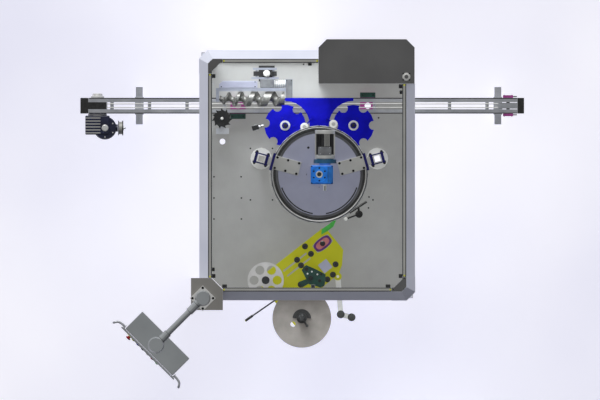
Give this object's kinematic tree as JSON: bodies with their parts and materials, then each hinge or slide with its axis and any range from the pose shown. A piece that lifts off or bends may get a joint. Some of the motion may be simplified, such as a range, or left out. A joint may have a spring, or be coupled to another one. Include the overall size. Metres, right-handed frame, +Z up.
{
  "type": "bottle labelling machine",
  "caption": "Rotary machine that labels bottles on a carousel: conveyor, infeed screw, star wheels, label reel unit, lifting head, clear guard with doors, cabinet and swinging console",
  "frame": {"origin": "the centre of the overall box at the floor the feet stand on", "axes": "+X runs along the conveyor the way the bottles travel, +Y from the operator's side towards the electrical cabinet, +Z up"},
  "size_m": [3.35, 2.6382, 2.1073],
  "materials": {
    "grey_enamel": "satin",
    "painted_frame": "satin",
    "table_steel": "brushed",
    "clear_sheet": "clear",
    "cabinet_enamel": "textured",
    "stainless": "satin",
    "white_plastic": "matte",
    "black_plastic": "matte",
    "magenta_paint": "satin",
    "navy_paint": "satin",
    "motor_paint": "matte",
    "blue_plastic": "satin",
    "head_paint": "satin",
    "blue_paint": "gloss",
    "yellow_paint": "gloss",
    "purple_paint": "satin",
    "black_rubber": "matte",
    "disc_grey": "matte",
    "green_paint": "gloss",
    "signal_red": "gloss"
  },
  "bodies": {
    "machine": {"base_frame": "grey_enamel", "console_pillar": "grey_enamel", "carousel_base": "grey_enamel", "front_cover": "painted_frame", "rear_cover": "painted_frame", "left_cover": "painted_frame", "right_cover": "painted_frame", "rear_left_frame": "painted_frame", "front_right_frame": "painted_frame", "table_plate": "table_steel", "infeed_pane": "clear_sheet", "outfeed_pane": "clear_sheet", "electrical_cabinet": "cabinet_enamel", "conveyor_frame": "stainless", "infeed_stand": "stainless", "outfeed_stand": "stainless", "gate_bracket": "stainless", "infeed_star_pedestal": "stainless", "outfeed_star_pedestal": "stainless", "left_head_column": "stainless", "right_head_column": "stainless", "front_belt": "white_plastic", "rear_belt": "white_plastic", "screw_slide_base": "black_plastic", "wiping_brush": "black_plastic", "infeed_conveyor_support": "magenta_paint", "outfeed_conveyor_support": "magenta_paint", "conveyor_gearmotor": "navy_paint", "centre_guide": "blue_plastic", "label_column": "head_paint", "label_plate": "yellow_paint", "label_feed_motor": "purple_paint", "peel_plate": "green_paint"},
    "left_door": {"left_door": "clear_sheet"},
    "right_door": {"right_door": "clear_sheet"},
    "front_left_door": {"front_left_door": "clear_sheet"},
    "front_right_door": {"front_right_door": "clear_sheet"},
    "rear_door": {"rear_door": "clear_sheet"},
    "cabinet_door": {"cabinet_door": "cabinet_enamel"},
    "drive_pulley": {"drive_pulley": "black_plastic"},
    "idler_pulley": {"idler_pulley": "black_plastic"},
    "variator_handwheel": {"variator_handwheel": "black_plastic"},
    "screw_carriage": {"screw_carriage": "motor_paint"},
    "screw_adjust_knob": {"screw_adjust_knob": "white_plastic"},
    "infeed_screw": {"infeed_screw": "white_plastic"},
    "gate_star": {"gate_star": "black_plastic"},
    "carousel_table": {"carousel_table": "stainless"},
    "infeed_star": {"infeed_star": "blue_plastic"},
    "outfeed_star": {"outfeed_star": "blue_plastic"},
    "head": {"head_plate": "head_paint", "head_gearbox": "blue_paint", "head_motor": "motor_paint"},
    "head_rotor": {"head_rotor": "stainless"},
    "feed_roller": {"feed_roller": "black_rubber"},
    "label_reel_disc": {"label_reel_disc": "disc_grey"},
    "rewind_disc": {"rewind_disc": "disc_grey"},
    "dancer_arm": {"dancer_arm": "stainless"},
    "console_arm": {"console_arm": "grey_enamel"},
    "console_box": {"console_box": "grey_enamel"},
    "emergency_stop": {"emergency_stop": "signal_red"}
  },
  "joints": [
    {"name": "left_door_hinge", "type": "hinge", "parent": "machine", "child": "left_door", "pos_m": [-0.697, -0.47162, 0.83], "axis": [0, 0, 1], "range_deg": [0, 90]},
    {"name": "right_door_hinge", "type": "hinge", "parent": "machine", "child": "right_door", "pos_m": [0.7715, -0.54012, 0.83], "axis": [0, 0, -1], "range_deg": [0, 90]},
    {"name": "front_left_door_hinge", "type": "hinge", "parent": "machine", "child": "front_left_door", "pos_m": [-0.587, -0.57212, 1.3], "axis": [0, 0, -1], "range_deg": [0, 90]},
    {"name": "front_right_door_hinge", "type": "hinge", "parent": "machine", "child": "front_right_door", "pos_m": [0.7395, -0.57212, 1.3], "axis": [0, 0, 1], "range_deg": [0, 90]},
    {"name": "rear_door_hinge", "type": "hinge", "parent": "machine", "child": "rear_door", "pos_m": [-0.665, 1.15638, 0.83], "axis": [0, 0, 1], "range_deg": [0, 90]},
    {"name": "cabinet_door_hinge", "type": "hinge", "parent": "machine", "child": "cabinet_door", "pos_m": [0.7615, 1.31408, 0.182], "axis": [0, 0, -1], "range_deg": [0, 90]},
    {"name": "drive_pulley_spin", "type": "hinge", "parent": "machine", "child": "drive_pulley", "pos_m": [-1.546, 0.81707, 0.9245], "axis": [0, 1, 0], "continuous": true},
    {"name": "idler_pulley_spin", "type": "hinge", "parent": "machine", "child": "idler_pulley", "pos_m": [1.554, 0.81707, 0.9245], "axis": [0, 1, 0], "continuous": true},
    {"name": "variator_handwheel_spin", "type": "hinge", "parent": "machine", "child": "variator_handwheel", "pos_m": [-1.391, 0.64838, 0.9], "axis": [1, 0, 0], "continuous": true},
    {"name": "screw_adjust_knob_turn", "type": "hinge", "parent": "machine", "child": "screw_adjust_knob", "pos_m": [-0.268, 1.05988, 1.1583], "axis": [0, 0, 1], "range_deg": [-28.6, 28.6]},
    {"name": "screw_adjust", "type": "slide", "parent": "machine", "child": "screw_carriage", "axis": [0, 1, 0], "range_m": [-0.006, 0.006]},
    {"name": "infeed_screw_spin", "type": "hinge", "parent": "screw_carriage", "child": "infeed_screw", "pos_m": [-0.621, 0.86768, 1.105], "axis": [1, 0, 0], "continuous": true},
    {"name": "gate_star_spin", "type": "hinge", "parent": "machine", "child": "gate_star", "pos_m": [-0.6056, 0.72038, 1.08], "axis": [0, 0, 1], "continuous": true},
    {"name": "carousel_spin", "type": "hinge", "parent": "machine", "child": "carousel_table", "pos_m": [0.129, 0.29838, 0.94], "axis": [0, 0, 1], "continuous": true},
    {"name": "infeed_star_spin", "type": "hinge", "parent": "machine", "child": "infeed_star", "pos_m": [-0.129, 0.66707, 1.01], "axis": [0, 0, 1], "continuous": true},
    {"name": "outfeed_star_spin", "type": "hinge", "parent": "machine", "child": "outfeed_star", "pos_m": [0.387, 0.66707, 1.01], "axis": [0, 0, 1], "continuous": true},
    {"name": "head_lift", "type": "slide", "parent": "machine", "child": "head", "axis": [0, 0, 1], "range_m": [-0.05, 0.1]},
    {"name": "head_rotor_spin", "type": "hinge", "parent": "head", "child": "head_rotor", "pos_m": [0.129, 0.29838, 1.4], "axis": [0, 0, 1], "continuous": true},
    {"name": "feed_roller_spin", "type": "hinge", "parent": "machine", "child": "feed_roller", "pos_m": [0.06325, -0.484, 1.0303], "axis": [0, 0, 1], "continuous": true},
    {"name": "label_reel_spin", "type": "hinge", "parent": "machine", "child": "label_reel_disc", "pos_m": [-0.00298, -0.78767, 1.0303], "axis": [0, 0, 1], "continuous": true},
    {"name": "rewind_spin", "type": "hinge", "parent": "machine", "child": "rewind_disc", "pos_m": [-0.27603, -0.50071, 1.0303], "axis": [0, 0, 1], "continuous": true},
    {"name": "dancer_swing", "type": "hinge", "parent": "machine", "child": "dancer_arm", "pos_m": [0.26867, -0.47225, 1.0197], "axis": [0, 0, 1], "range_deg": [-6, 15], "stiffness_Nm_per_rad": 8},
    {"name": "console_arm_swing", "type": "hinge", "parent": "machine", "child": "console_arm", "pos_m": [-0.751, -0.63662, 2.0223], "axis": [0, 0, 1], "range_deg": [-60, 10]},
    {"name": "console_turn", "type": "hinge", "parent": "console_arm", "child": "console_box", "pos_m": [-1.10455, -0.99017, 2.0223], "axis": [0, 0, 1], "range_deg": [-60, 45]},
    {"name": "emergency_stop_press", "type": "slide", "parent": "console_box", "child": "emergency_stop", "axis": [0.7071, 0.7071, 0], "range_m": [0, 0.005], "stiffness_N_per_m": 1500}
  ],
  "couplings": [
    {"joint": "idler_pulley_spin", "follows": "drive_pulley_spin", "ratio": 1},
    {"joint": "screw_adjust_knob_turn", "follows": "screw_adjust", "rad_per_m": 83.19},
    {"joint": "infeed_star_spin", "follows": "carousel_spin", "ratio": -2},
    {"joint": "outfeed_star_spin", "follows": "carousel_spin", "ratio": -2},
    {"joint": "head_rotor_spin", "follows": "carousel_spin", "ratio": 1},
    {"joint": "infeed_screw_spin", "follows": "carousel_spin", "ratio": 12}
  ]
}
